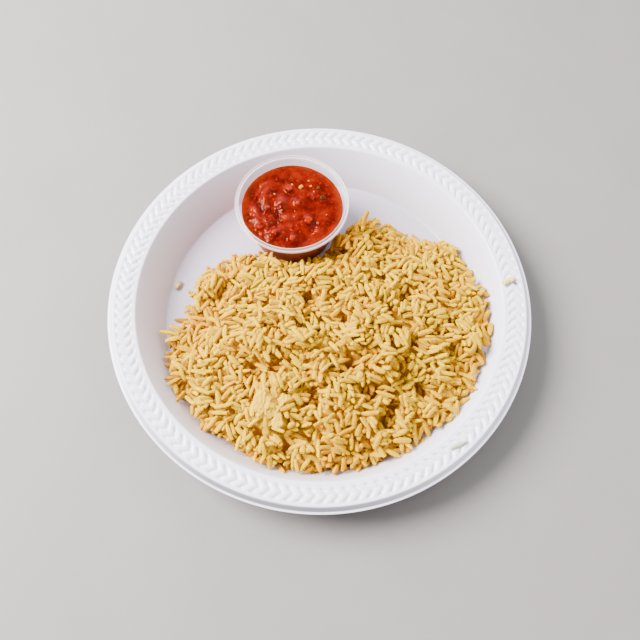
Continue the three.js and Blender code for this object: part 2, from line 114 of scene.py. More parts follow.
# Hollows and lumps seen in the heap: x, y, half length, half width, turn in degrees, depth or height
HOLLOWS = [
    (30, -51, 6.0, 3.9, 34, 5.2), (-34, -41, 6.6, 4.2, 124, 5.2), (39, -55, 7.0, 3.0, 88, 4.8),
    (-7, 1, 3.7, 2.8, 101, 4.6), (65, -54, 6.4, 2.8, 54, 4.2), (-4, -77, 5.2, 3.8, 21, 4.4),
    (36, -68, 3.4, 2.8, 113, 4.2), (-29, -74, 5.0, 3.0, 81, 4.0), (54, -66, 3.8, 3.0, 104, 4.0),
    (6, 32, 5.5, 3.4, 19, 3.0), (-2, -55, 5.8, 4.0, 136, 3.9), (39, -8, 6.6, 3.2, 131, 3.8),
    (46, 3, 3.8, 3.2, 47, 3.7), (-24, -41, 5.5, 3.2, 45, 3.4), (17, -38, 3.8, 3.4, 53, 3.6),
    (13, -12, 5.2, 2.8, 89, 3.6), (-29, -3, 4.4, 2.8, 47, 3.5), (29, -34, 3.2, 2.6, 106, 3.4),
    (54, -47, 5.5, 2.8, 114, 3.0), (56, -54, 5.0, 3.2, 93, 2.8), (-14, -80, 5.2, 2.8, 45, 3.3),
    (-18, -35, 5.0, 2.8, 24, 2.6), (73, -28, 5.6, 3.2, 91, 3.2), (-70, -51, 5.5, 3.0, 64, 2.6),
    (50, -27, 6.5, 2.8, 65, 2.9), (6, -49, 3.6, 2.6, 64, 2.8), (46, -18, 6.0, 3.0, 124, 2.7),
    (-8, -18, 3.2, 2.6, 47, 2.7), (44, -41, 5.0, 3.0, 76, 2.6), (71, 7, 5.0, 3.0, 97, 2.6),
    (-50, -16, 4.6, 2.6, 29, 2.6), (-55, -65, 6.5, 2.6, 84, 2.6), (-55, 6, 6.5, 3.2, 62, 2.5),
    (26, -80, 3.8, 2.6, 140, 2.5), (27, 11, 4.4, 2.8, 170, 2.5), (-42, -30, 3.8, 2.7, 47, 2.4),
    (-23, -18, 4.8, 3.2, 25, 2.3), (39, -80, 5.5, 3.2, 136, 2.3), (66, -20, 6.0, 2.6, 120, 2.1),
]
LUMPS = [
    (43, -68, 5.0, 4.2, 59, 2.0), (46, -56, 3.4, 3.0, 64, 1.8), (3, 16, 5.0, 4.2, 166, 1.8),
    (-10, 18, 6.0, 4.6, 22, 1.6), (63, -44, 6.0, 4.4, 139, 1.7), (-25, 21, 6.5, 4.0, 162, 1.2),
    (27, 1, 6.5, 4.6, 120, 1.5), (-26, -83, 6.0, 4.4, 40, 1.2), (35, -75, 6.0, 4.0, 38, 1.3),
    (57, -61, 4.0, 3.2, 134, 1.3), (14, 25, 6.0, 3.8, 66, 1.3), (6, -70, 5.4, 4.2, 10, 1.4),
    (32, -58, 5.4, 3.2, 56, 1.3), (35, -34, 5.0, 3.2, 100, 1.3), (10, -31, 6.0, 3.8, 49, 1.3),
    (-32, -14, 5.0, 3.2, 69, 1.3), (62, -28, 5.0, 4.4, 68, 1.4), (-6, -26, 5.6, 3.4, 48, 1.2),
    (65, -9, 5.0, 3.2, 105, 1.2), (-60, -49, 6.5, 4.6, 64, 1.2), (1, -4, 5.4, 3.4, 96, 1.1),
    (23, 49, 6.5, 5.5, 0, 3.4), (12, 40, 5.5, 4.5, 130, 2.8), (40, 46, 6.0, 5.0, 0, 1.6),
    (-62, 6, 6.0, 4.5, 60, 1.6),
]
# Grains that reach out of the heap: x, y, turn, tilt in degrees, length
EDGE_GRAINS = [
    (-82.0, -18.9, 172, 6, 10.6), (-77.5, -16.5, 160, 14, 8.8), (-79.5, -22.5, 196, 0, 8.8),
    (24.4, 51.0, 68, 22, 9.0), (30.4, 50.6, 42, 10, 8.4),
]
EDGE_WIDTH, EDGE_TONE = 2.6, -0.1
# Chicken piece: its middle, underside and half widths
CHICKEN = {"x": -24.0, "y": -61.0, "z": 14.6, "half_x": 11.4, "half_y": 10.2}

# Rice grains
GRID_STEP = 0.4
GRAIN_LENGTH, SHORT_LENGTH, SHORT_SHARE = (6.8, 10.2), (3.8, 6.2), 0.09
GRAIN_WIDTH = (2.1, 3.0)
CLUMP_STEP = 13.0
HEAP_SEED = 77
TOP_MOST = 31.4
RELIEF_GAIN, CLUMP_SPREAD = 2.3, 34.0
# Depth of the grains over the core, how far the core stays inside the outline, and its lift
LAYER, CORE_INSET, CORE_LIFT = 7.4, 5.2, 1.2
# Passes over the heap: least free depth for a grain, and share laid as rafts
SWEEPS = ((3.0, 0.0), (2.4, 0.3), (1.5, 0.9), (1.3, 0.9), (1.2, 0.85), (1.1, 0.6), (1.0, 0.2))
SWEEP_STRIDE = 14
# Spacing in a raft by width, how far its grains may drop apart, and how deep rafts and grains sink
RAFT_SPACING, RAFT_SLACK, RAFT_SINK, GRAIN_SINK = 0.27, 0.9, 1.2, 0.95
# How far a grain's middle and tip may rise over the heap, and how near its outline it may lie
OVER_TOP, OVER_TIP, FROM_EDGE = 0.9, 2.6, 1.1
# Heights that mean nothing here and no grain here
NONE_Z, SHUT_Z = -50, 80
# Half widths in cells of the squares that a grain's depth is measured in, and what each adds to warmth as
# painted shade
GAP_CELLS, HOLLOW_CELLS = 8, 24
GAP_WARMTH, HOLLOW_WARMTH = 0.16, 0.13
# Steps of warmth, from random tone and painted shade, between the heap's four kinds, and the oval of the
# fifth beside the cup
WARM_STEPS = (-0.05, 0.35, 0.75)
# Painted light: the fifth kind, redder and lighter, is for grains in the cup's shadow
BY_CUP_X, BY_CUP_Y, BY_CUP_LONG, BY_CUP_WIDE = 10, 41, 13, 14
# A grain's rings along its length, and its section
RINGS = 6
SECTION = (
    (1.0, 0.2), (0.55, 0.88), (-0.3, 0.98), (-0.95, 0.42), (-0.82, -0.62), (0.0, -0.98), (0.78, -0.66),
)
SIDES = len(SECTION)
BLACK, WHITE = (0.0, 0.0, 0.0), (1.0, 1.0, 1.0)


# Node materials

class Shade:
    """A node material with one Principled shader."""

    def __init__(self, name, **sockets):
        self.material = bpy.data.materials.new(name)
        self.material.use_nodes = True
        self.tree = self.material.node_tree
        self.tree.nodes.clear()
        self.bsdf = self.node("BsdfPrincipled")
        self.link(self.bsdf, "BSDF", self.node("OutputMaterial"), "Surface")
        for socket, value in sockets.items():
            self.bsdf.inputs[socket.replace("_", " ")].default_value = value

    def node(self, kind, inputs=None, **settings):
        made = self.tree.nodes.new("ShaderNode" + kind)
        for key, value in settings.items():
            setattr(made, key, value)
        for key, value in (inputs or {}).items():
            made.inputs[key].default_value = value
        return made

    def link(self, a, out, b, into):
        self.tree.links.new(a.outputs[out], b.inputs[into])

    def placed(self, made):
        """A node that reads the place on the object."""
        self.link(self.node("TexCoord"), "Object", made, 0)
        return made

    def split(self):
        return self.placed(self.node("SeparateXYZ"))

    def measured(self, operation, vector=None):
        """Length of the place, or its distance from or share along a vector."""
        return self.placed(self.node("VectorMath", {1: vector} if vector else None, operation=operation))

    def span(self, source, out, low, high, to_low=0.0, to_high=1.0):
        """The range low to high brought to another one, 0 to 1 by default."""
        ends = {"From Min": low, "From Max": high, "To Min": to_low, "To Max": to_high}
        made = self.node("MapRange", ends)
        self.link(source, out, made, "Value")
        return made

    def product(self, a, a_out, b, b_out):
        made = self.node("Math", operation="MULTIPLY")
        self.link(a, a_out, made, 0)
        self.link(b, b_out, made, 1)
        return made.outputs["Value"]

    def noise(self, scale, detail=3.0, rough=0.5, stretch=None):
        tex = self.node("TexNoise", {"Scale": scale, "Detail": detail, "Roughness": rough})
        if not stretch:
            return self.placed(tex)
        self.link(self.placed(self.node("Mapping", {"Scale": stretch})), "Vector", tex, "Vector")
        return tex

    def ramp(self, source, out, stops):
        ramp = self.node("ValToRGB")
        while len(ramp.color_ramp.elements) < len(stops):
            ramp.color_ramp.elements.new(0.5)
        for element, (at, colour) in zip(ramp.color_ramp.elements, stops):
            element.position = at
            element.color = (*colour, 1.0)
        self.link(source, out, ramp, "Fac")
        return ramp

    def mix(self, a, b, factor, kind="MIX"):
        made = self.node("Mix", data_type="RGBA", blend_type=kind)
        for source, name in ((a, "A"), (b, "B")):
            socket = [s for s in made.inputs if s.name == name and s.type == "RGBA"][0]
            if isinstance(source, tuple):
                socket.default_value = (*source, 1.0)
            else:
                self.tree.links.new(self.shown(source), socket)
        if isinstance(factor, (int, float)):
            made.inputs["Factor"].default_value = factor
        else:
            self.tree.links.new(factor, made.inputs["Factor"])
        return made

    def shown(self, source):
        """Colour output of a node."""
        return [s for s in source.outputs if s.type == "RGBA"][0]

    def colour(self, source):
        self.tree.links.new(self.shown(source), self.bsdf.inputs["Base Color"])

    def bump(self, source, strength, distance):
        bump = self.node("Bump", {"Strength": strength, "Distance": distance})
        self.link(source, "Fac", bump, "Height")
        self.link(bump, "Normal", self.bsdf, "Normal")


def plate_material():
    """White pressed plate, with painted shade greyer down its wall, painted bounce light from the rice and
    painted shade on the ledge.
    """
    s = Shade("plate_white", Roughness=0.24, IOR=1.47, Subsurface_Weight=0.06, Subsurface_Scale=0.004,
              Subsurface_Radius=(1.0, 0.9, 0.85))
    white = s.ramp(s.noise(9.0, 2.0), "Fac", [(0.35, (0.81, 0.79, 0.88)), (0.65, (0.84, 0.82, 0.91))])
    away = s.measured("LENGTH")
    front = s.measured("DOT_PRODUCT", (-0.2, -0.98, 0.0))
    # Painted shade: the wall and floor are greyer than the rim, for the shade in the plate's well
    well_shade = s.ramp(s.span(away, "Value", 0.07, 0.11), "Result", [
        (0.35, (0.61, 0.555, 0.56)), (0.5, (0.76, 0.7, 0.665)), (0.82, (0.98, 0.98, 0.97)),
    ])
    shaded_white = s.mix(white, well_shade, 1.0, "MULTIPLY")
    # Painted bounce light: a warm tint on the front wall beside the rice, for light cast back from it
    near_rice = s.ramp(s.span(away, "Value", 0.09, 0.106), "Result", [
        (0.12, BLACK), (0.5, (0.5, 0.5, 0.5)), (0.74, BLACK),
    ])
    rice_bounce = s.product(near_rice, "Color", s.span(front, "Value", 0.06, 0.09), "Result")
    with_rice_bounce = s.mix(shaded_white, (0.68, 0.53, 0.36), rice_bounce)
    # Painted shade: the narrow ledge outside the band is darkened towards the front, where it lies in shade
    ledge = s.ramp(s.span(away, "Value", 0.11, 0.117), "Result", [
        (0.5, BLACK), (0.6, WHITE), (0.74, WHITE), (0.81, BLACK),
    ])
    ledge_shade = s.product(ledge, "Color", s.span(front, "Value", 0.067, 0.11, to_high=0.8), "Result")
    s.colour(s.mix(with_rice_bounce, (0.1, 0.094, 0.1), ledge_shade))
    s.bump(s.noise(260.0, 3.0), 0.05, 0.0004)
    return s.material


def cup_material():
    """Thin clear wall, milkier where the plastic is rolled thick at the rim."""
    s = Shade("cup_clear", Roughness=0.12, IOR=1.46)
    s.colour(s.ramp(s.noise(70.0, 2.0), "Fac", [(0.3, (0.88, 0.76, 0.76)), (0.7, (0.95, 0.84, 0.84))]))
    veil = s.ramp(s.span(s.split(), "Z", 0.03, 0.034), "Result", [(at, (v,) * 3) for at, v in CUP_VEIL])
    s.link(veil, "Color", s.bsdf, "Alpha")
    s.bump(s.noise(180.0, 1.0), 0.03, 0.0004)
    return s.material


def sauce_material(name, dark, mid, light, rough):
    """Wet sauce, with painted shade in its dips, a painted glow brighter by the wall and on its side, dull
    where the cup covers it.
    """
    s = Shade(name, IOR=1.34, Subsurface_Weight=0.2, Subsurface_Scale=0.002,
              Subsurface_Radius=(1.0, 0.22, 0.06), Specular_IOR_Level=0.3,
              Specular_Tint=(1.0, 0.42, 0.22, 1.0))
    base = s.ramp(s.noise(130.0, 3.0, 0.6), "Fac", [(0.36, dark), (0.5, mid), (0.66, light)])
    fleck = s.ramp(s.noise(620.0, 2.0), "Fac", [(0.6, BLACK), (0.7, WHITE)])
    wet = s.mix(base, tuple(c * 1.1 for c in light), fleck.outputs["Color"])
    # Painted glow: lighter orange towards the cup's wall, for light coming through the shallow sauce there
    middle = s.measured("DISTANCE", (CUP_X * MM, CUP_Y * MM, SAUCE_Z * MM))
    rim = s.span(middle, "Value", 0.0245, 0.029, to_high=0.5)
    lit = s.mix(wet, (0.28, 0.026, 0.0004), rim.outputs["Result"])
    split = s.split()
    # Painted shade: the sauce is darker in its dips
    dip_shade = s.span(split, "Z", 0.0272, 0.0286, to_low=0.35)
    top = s.mix(dark, lit, dip_shade.outputs["Result"])
    # Painted glow: below its open surface the sauce's side is a lighter orange-red, for light coming through
    # the sauce behind the cup's wall
    open_air = s.span(split, "Z", 0.0262, 0.027)
    s.colour(s.mix((0.31, 0.043, 0.002), top, open_air.outputs["Result"]))
    s.link(s.span(open_air, "Result", 0.0, 1.0, 0.7, rough), "Result", s.bsdf, "Roughness")
    s.bump(s.noise(700.0, 2.0), 0.12, 0.0004)
    return s.material


def rice_material(name, pale, mid, deep):
    """Each grain its own tone, with wide stained patches and a faint ripple."""
    s = Shade(name, Roughness=0.34, IOR=1.3, Subsurface_Weight=0.9, Subsurface_Scale=0.0019,
              Subsurface_Radius=(1.0, 0.66, 0.15), Specular_IOR_Level=0.07,
              Specular_Tint=(1.0, 0.8, 0.2, 1.0))
    grain = s.node("NewGeometry")
    tone = s.ramp(grain, "Random Per Island", [(0.0, pale), (0.55, mid), (1.0, deep)])
    stain = s.ramp(s.noise(34.0, 2.0, 0.55), "Fac", [(0.46, WHITE), (0.72, (0.95, 0.8, 0.6))])
    streak = s.ramp(s.noise(300.0, 3.0, 0.65), "Fac", [(0.3, (0.82, 0.68, 0.5)), (0.68, (1.08, 1.09, 1.0))])
    s.colour(s.mix(s.mix(tone, stain, 0.6, "MULTIPLY"), streak, 1.0, "MULTIPLY"))
    s.bump(s.noise(1300.0, 2.0), 0.16, 0.0003)
    return s.material


def core_material():
    """Rice deep in the heap, seen only between the grains, a deeper orange than them as a painted glow."""
    s = Shade("rice_core", Roughness=0.6, IOR=1.3, Subsurface_Weight=0.2, Subsurface_Scale=0.001,
              Subsurface_Radius=(1.0, 0.6, 0.2))
    # Painted glow: a bright orange for light scattered between the grains
    s.colour(s.ramp(s.noise(300.0, 3.0), "Fac", [(0.3, (0.66, 0.29, 0.003)), (0.7, (0.8, 0.42, 0.005))]))
    s.bump(s.noise(500.0, 3.0), 0.8, 0.001)
    return s.material


def chicken_material():
    """Pale cooked meat with fibres along it."""
    s = Shade("chicken_pale", Roughness=0.42, IOR=1.36, Subsurface_Weight=0.3, Subsurface_Scale=0.0015,
              Subsurface_Radius=(1.0, 0.65, 0.35), Specular_IOR_Level=0.1,
              Specular_Tint=(1.0, 0.85, 0.4, 1.0))
    s.colour(s.ramp(s.noise(170.0, 4.0, 0.6, (2.6, 0.7, 1.0)), "Fac", [
        (0.3, (0.52, 0.29, 0.004)), (0.5, (0.64, 0.39, 0.008)), (0.72, (0.7, 0.46, 0.02)),
    ]))
    s.bump(s.noise(420.0, 4.0, 0.65, (2.4, 0.6, 1.0)), 0.5, 0.0007)
    return s.material


def plain_material(name, low, high, rough, shine=0.5):
    """Two close tones in a fine mottle, for small bits."""
    s = Shade(name, Roughness=rough, IOR=1.42, Subsurface_Weight=0.2, Subsurface_Scale=0.0012,
              Specular_IOR_Level=shine)
    s.colour(s.ramp(s.noise(400.0, 3.0), "Fac", [(0.35, low), (0.65, high)]))
    s.bump(s.noise(800.0, 2.0), 0.2, 0.0003)
    return s.material


def floor_material():
    s = Shade("floor_pale", Roughness=0.7)
    s.colour(s.ramp(s.noise(14.0, 4.0, 0.6), "Fac", [
        (0.3, (0.228, 0.213, 0.19)), (0.7, (0.248, 0.231, 0.207)),
    ]))
    return s.material


# Mesh helpers

def add(name, data):
    made = bpy.data.objects.new(name, data)
    bpy.context.scene.collection.objects.link(made)
    return made


def make_object(name, points, faces, material, smooth=True):
    mesh = bpy.data.meshes.new(name)
    mesh.from_pydata((np.asarray(points, float) * MM).tolist(), [], faces)
    mesh.polygons.foreach_set("use_smooth", np.full(len(mesh.polygons), smooth))
    mesh.materials.append(material)
    mesh.update()
    return add(name, mesh)


def piece(name, points, faces, material, node, slot, smooth=True):
    """A piece of the one body, in place of its node of the source."""
    made = make_object(name, points, faces, material, smooth)
    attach(made, "root")
    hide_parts(node)
    return made


def rounded(corners, steps=5):
    """Profile points with each corner of (r, z, radius) rounded by its radius."""
    path = []
    for i, (r, z, radius) in enumerate(corners):
        here = np.array([r, z], float)
        if not radius or i in (0, len(corners) - 1):
            path.append(here)
            continue
        before = np.array(corners[i - 1][:2], float) - here
        after = np.array(corners[i + 1][:2], float) - here
        lb, la = np.linalg.norm(before), np.linalg.norm(after)
        before, after = before / lb, after / la
        angle = math.acos(float(np.clip(before @ after, -1, 1)))
        reach = min(radius / math.tan(angle / 2), 0.48 * lb, 0.48 * la)
        a, b = here + before * reach, here + after * reach
        for t in np.linspace(0, 1, steps + 1):
            path.append((1 - t) ** 2 * a + 2 * t * (1 - t) * here + t * t * b)
    return np.array(path)


def closed_faces(rows, n):
    """Faces of rings of n points, closed by one point before the first ring and one after the last."""
    j = np.arange(n)
    k = (j + 1) % n
    around = list(zip(j.tolist(), k.tolist()))
    faces = [(rows * n, a, b) for a, b in around]
    for i in range(rows - 1):
        quads = np.stack([i * n + j, (i + 1) * n + j, (i + 1) * n + k, i * n + k], -1)
        faces.extend(map(tuple, quads.tolist()))
    base = (rows - 1) * n
    faces.extend((base + a, rows * n + 1, base + b) for a, b in around)
    return faces


def lathe(profile, segments, cx=0.0, cy=0.0):
    """Points and faces of a profile turned about an upright axis, from the axis back to the axis."""
    inner = profile[1:-1]
    angles = np.arange(segments) * 2 * np.pi / segments
    ring = np.stack([np.cos(angles), np.sin(angles)], -1)
    grid = np.empty((len(inner), segments, 3))
    grid[..., :2] = inner[:, None, 0:1] * ring[None]
    grid[..., 2] = inner[:, None, 1]
    points = np.concatenate([grid.reshape(-1, 3), [[0, 0, profile[0][1]], [0, 0, profile[-1][1]]]])
    points[:, 0] += cx
    points[:, 1] += cy
    return points, closed_faces(len(inner), segments)


def smoothstep(x):
    x = np.clip(x, 0, 1)
    return x * x * (3 - 2 * x)


def seen_from(x, y, cx, cy, turn):
    """Points measured from a place, along and across a direction in degrees."""
    c, s = math.cos(math.radians(turn)), math.sin(math.radians(turn))
    return (x - cx) * c + (y - cy) * s, -(x - cx) * s + (y - cy) * c


# Plate with the band of chevrons pressed into its rim

def build_plate(material):
    at = PLATE_PROFILE.index("band")
    inside = rounded(PLATE_PROFILE[:at])
    outside = rounded(PLATE_PROFILE[at + 1:], 3)
    radii = np.arange(BAND_INNER + 0.4, BAND_OUTER - 0.2, 0.4)
    heights = np.interp(radii, [BAND_INNER, BAND_OUTER], [BAND_INNER_Z, BAND_OUTER_Z])
    profile = np.concatenate([inside, np.stack([radii, heights], -1), outside])
    points, faces = lathe(profile, PLATE_SEGMENTS)
    r = np.hypot(points[:, 0], points[:, 1])
    angle = np.degrees(np.arctan2(points[:, 1], points[:, 0]))
    along = (angle + CHEVRON_TURN * np.abs(r - BAND_MID) / CHEVRON_ARM - CHEVRON_PHASE) * CHEVRONS / 360
    groove = (along + 0.5) % 1 - 0.5
    relief = CHEVRON_DEPTH * (0.85 - 2.2 * np.exp(-(groove / 0.16) ** 2)) + 0.06 * np.cos(4 * np.pi * groove)
    # A dimple at each end of every groove
    for end_r in DIMPLE_RADII:
        relief -= 0.42 * np.exp(-((r - end_r) / 0.6) ** 2 - (groove / 0.24) ** 2)
    fade = smoothstep((r - BAND_INNER) / BAND_FADE) * smoothstep((BAND_OUTER - r) / BAND_FADE)
    top = points[:, 2] > BAND_LOW_SIDE
    points[:, 2] += np.where(top, relief * fade, 0.0)
    return piece("plate_pressed", points, faces, material, "plate", "plate")


# Clear cup with a rolled rim

def build_cup(material):
    points, faces = lathe(rounded(CUP_PROFILE, 6)[::-1], CUP_SEGMENTS, CUP_X, CUP_Y)
    return piece("cup_clear", points, faces, material, "sauce_cup", "cup")


def cup_inner(z):
    """Inner radius of the cup at a height."""
    return np.interp(z, CUP_INNER_Z, CUP_INNER_R)


# Sauce: lumpy wet surface, with diced pieces and dark flecks half sunk in it

# Dice, from the cup's axis: x, y, size and turn in degrees
DICE = [
    (-3.8, -7.0, 2.3, 18), (9.4, -8.2, 2.9, 62), (-14, -1, 2.0, 40), (-9, -17, 2.3, 10), (3, 3, 1.8, 75),
    (-2, 12, 1.9, 33), (-17, -14, 2.0, 55), (14, -15, 1.8, 12), (1, -20, 2.2, 70),
]
# Swells of the sauce, from the cup's axis: x, y, width and height
SWELLS = [
    (-15.8, 7.3, 2.9, 1.7), (-15.4, 3.2, 2.4, 1.3), (-6.2, 3.4, 2.9, 1.7), (-5.0, -0.8, 2.4, 1.4),
    (-19.6, -8.8, 2.5, 1.4), (-17.8, -12.8, 2.0, 1.2), (-6.2, -17.2, 2.7, 1.5), (-10.4, -21.0, 2.2, 1.4),
    (-12.6, -15.6, 2.2, 1.2), (-21.0, -2.4, 1.8, 1.0), (-2.8, 13.0, 2.0, 0.9), (12.2, 8.2, 1.6, 0.8),
    (-13.6, -8.8, 2.2, 1.2), (0.8, 5.2, 2.0, 0.8),
]
# Bits of onion and herb, from the cup's axis: x, y and size
PALE_BITS = [
    (4.4, 14.1, 1.4), (10.1, 15.0, 0.8), (12.0, 11.2, 0.5), (-0.8, 15.4, 0.7), (14.2, -12.4, 0.5),
    (19.5, -4.0, 0.4), (8.6, 18.4, 0.5), (-10.5, 8.5, 0.6),
]
DARK_BITS = [(17.2, 7.1, 1.5), (-11.2, -10.6, 0.8), (14.4, 14.0, 1.0), (-1.5, 20.5, 0.6)]


def sauce_height(x, y):
    """Height above the sauce's level at points measured from the cup's axis."""
    r = np.hypot(x, y)
    flat = np.stack([x.ravel(), y.ravel()], -1)
    rough = np.array([
        0.6 * noise.noise((px * 0.13, py * 0.13, 3.1)) + 0.42 * noise.noise((px * 0.36, py * 0.36, 7.7))
        + 0.17 * noise.noise((px * 0.9, py * 0.9, 1.3)) for px, py in flat.tolist()
    ]).reshape(x.shape)
    lift = rough * (0.5 + 1.05 * smoothstep((8.0 - x - 0.6 * y) / 22.0))
    for cx, cy, size, turn in DICE:
        u, v = seen_from(x, y, cx, cy, turn)
        d = (np.abs(u / size) ** 3 + np.abs(v / size) ** 3) ** (1 / 3)
        lift += 0.7 * smoothstep((1.6 - d) / 0.9)
    for cx, cy, width, height in SWELLS:
        lift += height * np.exp(-((x - cx) ** 2 + 0.6 * (y - cy) ** 2) / width ** 2)
    sag = -0.9 * np.exp(-((x - 12.6) ** 2 / 5 + (y + 9) ** 2 / 26))
    edge = smoothstep((r - 25.0) / 3.0)
    return (lift + sag) * (1 - edge) + edge * (0.25 + 0.12 * np.sin(5 * np.arctan2(y, x)))


def sauce_at(x, y):
    """Height of the sauce at one place measured from the cup's axis."""
    return SAUCE_Z + float(sauce_height(np.full((1, 1), x), np.full((1, 1), y))[0, 0])


def build_sauce(material, dice_material, fleck_material, bit_material):
    rings, n = 96, 220
    angles = np.arange(n) * 2 * np.pi / n
    wall = float(cup_inner(SAUCE_Z)) + SAUCE_FIT
    radii = wall * (np.arange(1, rings + 1) / rings) ** 0.8
    x = radii[:, None] * np.cos(angles)
    y = radii[:, None] * np.sin(angles)
    top = np.stack([x + CUP_X, y + CUP_Y, SAUCE_Z + sauce_height(x, y)], -1)
    sides = []
    for level in np.linspace(SAUCE_Z - 1.0, SAUCE_FOOT_Z, 12):
        r = float(cup_inner(level)) + SAUCE_FIT
        x, y = r * np.cos(angles) + CUP_X, r * np.sin(angles) + CUP_Y
        sides.append(np.stack([x, y, np.full(n, level)], -1))
    grid = np.concatenate([top, np.array(sides)])
    ends = [[CUP_X, CUP_Y, sauce_at(0.0, 0.0)], [CUP_X, CUP_Y, SAUCE_FOOT_Z]]
    points = np.concatenate([grid.reshape(-1, 3), ends])
    piece("sauce_body", points, closed_faces(len(grid), n), material, "sauce", "sauce")

    rng = np.random.default_rng(12)
    dice = []
    for cx, cy, size, turn in DICE:
        scale = 0.78 * size * np.array([1, 0.86 + 0.2 * rng.random(), 0.75])
        dice.append((lump(rng, scale, 0.55, 0.16, 3), (CUP_X + cx, CUP_Y + cy, sauce_at(cx, cy) - 0.75),
                     (8 * rng.standard_normal(), 8 * rng.standard_normal(), turn)))
    piece("sauce_dice", *joined(dice), dice_material, "sauce", "sauce")

    flecks, bits = [], []
    for target, spots, flat in ((flecks, DARK_BITS, 0.3), (bits, PALE_BITS, 0.5)):
        for px, py, size in spots:
            scale = size * np.array([1.0, 0.7 + 0.3 * rng.random(), flat])
            place = (CUP_X + px, CUP_Y + py, sauce_at(px, py) - 0.05)
            target.append((lump(rng, scale, 0.8, 0.3, 3), place,
                           (12 * rng.standard_normal(), 12 * rng.standard_normal(), 360 * rng.random())))
    piece("sauce_flecks", *joined(flecks), fleck_material, "sauce", "sauce")
    piece("sauce_bits", *joined(bits), bit_material, "sauce", "sauce")


# Lumps and bits

@functools.lru_cache
def ico(level):
    """Unit icosphere points and faces."""
    bm = bmesh.new()
    bmesh.ops.create_icosphere(bm, subdivisions=level, radius=1.0)
    bm.verts.index_update()
    points = np.array([v.co[:] for v in bm.verts])
    faces = [tuple(v.index for v in f.verts) for f in bm.faces]
    bm.free()
    return points, faces


def lump(rng, scale, squareness, rough, level):
    """A rounded block or blob: an icosphere pushed towards a box, then roughened."""
    points, faces = ico(level)
    power = 2 + 4 * (1 - squareness)
    length = (np.abs(points) ** power).sum(1) ** (1 / power)
    shaped = points / length[:, None]
    offset = rng.random(3) * 50
    swell = np.array([noise.noise(Vector(p * 1.6 + offset)) for p in points])
    return shaped * (1 + rough * swell)[:, None] * scale, faces


def turned(points, place, degrees):
    """Points turned about X, Y and Z in that order, then moved to a place."""
    rx, ry, rz = (math.radians(d) for d in degrees)
    rotation = Matrix.Rotation(rz, 3, "Z") @ Matrix.Rotation(ry, 3, "Y") @ Matrix.Rotation(rx, 3, "X")
    return points @ np.array(rotation).T + np.array(place)


def joined(parts):
    """One point list and one face list from ((points, faces), place, degrees) entries."""
    points, faces, start = [], [], 0
    for (own, own_faces), place, degrees in parts:
        points.append(turned(own, place, degrees))
        faces.extend(tuple(start + i for i in f) for f in own_faces)
        start += len(own)
    return np.concatenate(points), faces


# Heights of the plate and the heap

def plate_z(r):
    """Height of the plate's upper side, out to its rim."""
    radii = [0, FLOOR_R, WALL_FOOT[0], WALL_TOP[0], WALL_END[0]]
    return np.interp(r, radii, [FLOOR_Z, FLOOR_Z, WALL_FOOT[1], WALL_TOP[1], WALL_END[1]])


def heap_radius(angle):
    """Reach of the heap from its centre, cut back where the cup stands."""
    at = (angle / (2 * np.pi) % 1) * len(HEAP_RADII)
    measured = np.interp(at, np.arange(len(HEAP_RADII) + 1), np.append(HEAP_RADII, HEAP_RADII[0]))
    dx, dy = CUP_X - HEAP_X, CUP_Y - HEAP_Y
    along = dx * np.cos(angle) + dy * np.sin(angle)
    across = dx * np.sin(angle) - dy * np.cos(angle)
    blocked = (along > 0) & (np.abs(across) < CUP_CLEAR)
    reach = along - np.sqrt(np.maximum(CUP_CLEAR ** 2 - across ** 2, 0))
    return np.where(blocked, np.minimum(measured, reach), measured)


def heap_edge_top(angle, radius):
    """Height of the heap at its outline, higher where it leans on the cup."""
    x = HEAP_X + radius * np.cos(angle)
    y = HEAP_Y + radius * np.sin(angle)
    r = np.hypot(x, y)
    lift = np.where(r > FLOOR_R, 0.65, 0.3)
    near_cup = np.hypot(x - CUP_X, y - CUP_Y) - CUP_CLEAR
    side = 0.9 + (CUP_SIDE_Z - 3.2) * np.clip(1 - near_cup / 6, 0, 1)
    return plate_z(r) + lift + side


def heap_z(x, y):
    """Height of the smooth heap."""
    angle = np.arctan2(y - HEAP_Y, x - HEAP_X)
    radius = heap_radius(angle)
    s = np.clip(np.hypot(x - HEAP_X, y - HEAP_Y) / radius, 0, 1)
    edge = heap_edge_top(angle, radius)
    shoulder = SHOULDER * (1 - np.exp(-(1 - s) * 14))
    dome = np.power(1 - s ** 2.3, 1.15)
    away = np.hypot(x - PEAK_X, y - PEAK_Y)
    peak = PEAK_Z - 0.00042 * away * away - 0.03 * away
    swell = 1.1 * np.sin(x * 0.085 + 1.3) * np.cos(y * 0.1 - 0.4) + 0.7 * np.sin(x * 0.19 + y * 0.13)
    clump = 2.2 * np.exp(-((x - 24.5) ** 2 + (y + 9.3) ** 2) / 110)
    hollow = 4.2 * np.exp(-(((x - 58) / 17) ** 2 + ((y + 50) / 8) ** 2))
    smooth = edge + shoulder + (peak - edge - SHOULDER) * dome
    return smooth + (swell + clump - hollow) * np.minimum(1, dome * 2)


def heap_relief(x, y):
    """Rise and fall of the hollows and lumps."""
    total = np.zeros_like(x)
    for spots, sign in ((HOLLOWS, -1.0), (LUMPS, 1.0)):
        for cx, cy, long, short, turn, size in spots:
            u, v = seen_from(x, y, cx, cy, turn)
            total = total + sign * size * np.exp(-(u / long) ** 2 - (v / short) ** 2)
    return total


def clump_relief(x, y, clumps):
    """Rise and fall of the heap with its clumps."""
    relief = RELIEF_GAIN * heap_relief(x, y)
    for cx, cy, lift in clumps[:, [0, 1, 5]]:
        relief = relief + lift * np.exp(-((x - cx) ** 2 + (y - cy) ** 2) / CLUMP_SPREAD)
    return relief


